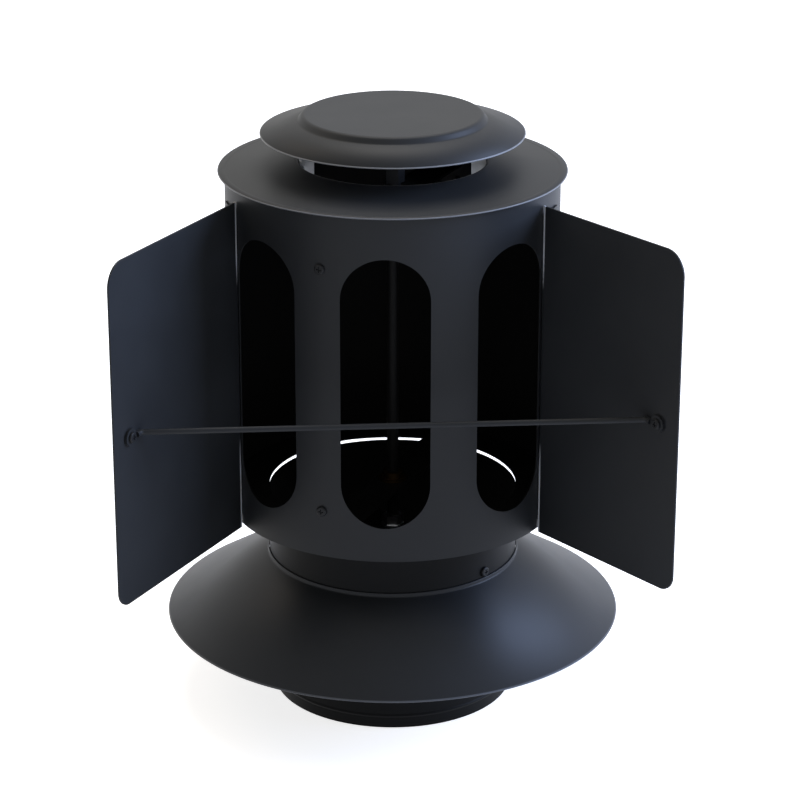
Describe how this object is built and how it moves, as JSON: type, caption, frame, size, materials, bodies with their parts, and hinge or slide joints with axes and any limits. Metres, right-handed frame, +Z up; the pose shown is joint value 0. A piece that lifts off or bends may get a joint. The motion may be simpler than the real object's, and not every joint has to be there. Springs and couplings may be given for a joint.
{
  "type": "rotating flue cowl",
  "caption": "Wind-driven turning flue cowl: slotted drum with tail fins, brace rod and hat on a spindle above a skirted pipe.",
  "frame": {"origin": "centre of the flue pipe's bottom rim, on the turning axis", "axes": "+Z up along the flue and turning axis, -Y the front, towards the slots and fins at rest"},
  "size_m": [0.3608, 0.3534, 0.4195],
  "materials": {
    "black_coat": "satin powder coat",
    "zinc": "bright zinc plate",
    "black_hardware": "black oxide",
    "bronze": "plain sintered bronze"
  },
  "bodies": {
    "base": {"base_pipe": "black_coat", "skirt": "black_coat", "neck_bridge": "black_coat", "neck_screws": "black_hardware", "spindle": "black_hardware", "spindle_washers": "zinc", "spindle_nuts": "zinc"},
    "cowl": {"drum": "black_coat", "floor_ring": "black_coat", "lid": "black_coat", "hat": "black_coat", "hat_leg_left": "zinc", "hat_leg_right": "zinc", "hat_leg_back": "zinc", "hat_leg_rivets": "zinc", "lower_strap": "black_coat", "upper_strap": "black_coat", "strap_screws": "black_hardware", "lower_bushing": "bronze", "upper_bearing": "black_hardware", "bearing_nuts": "black_hardware", "fin_left": "black_coat", "fin_right": "black_coat", "fin_rivets_left": "black_hardware", "fin_rivets_right": "black_hardware", "brace_rod": "black_coat", "brace_screws": "black_hardware", "brace_nuts": "black_hardware"}
  },
  "joints": [
    {"name": "cowl_swivel", "type": "hinge", "parent": "base", "child": "cowl", "pos_m": [0, 0, 0.38], "axis": [0, 0, 1], "continuous": true}
  ]
}
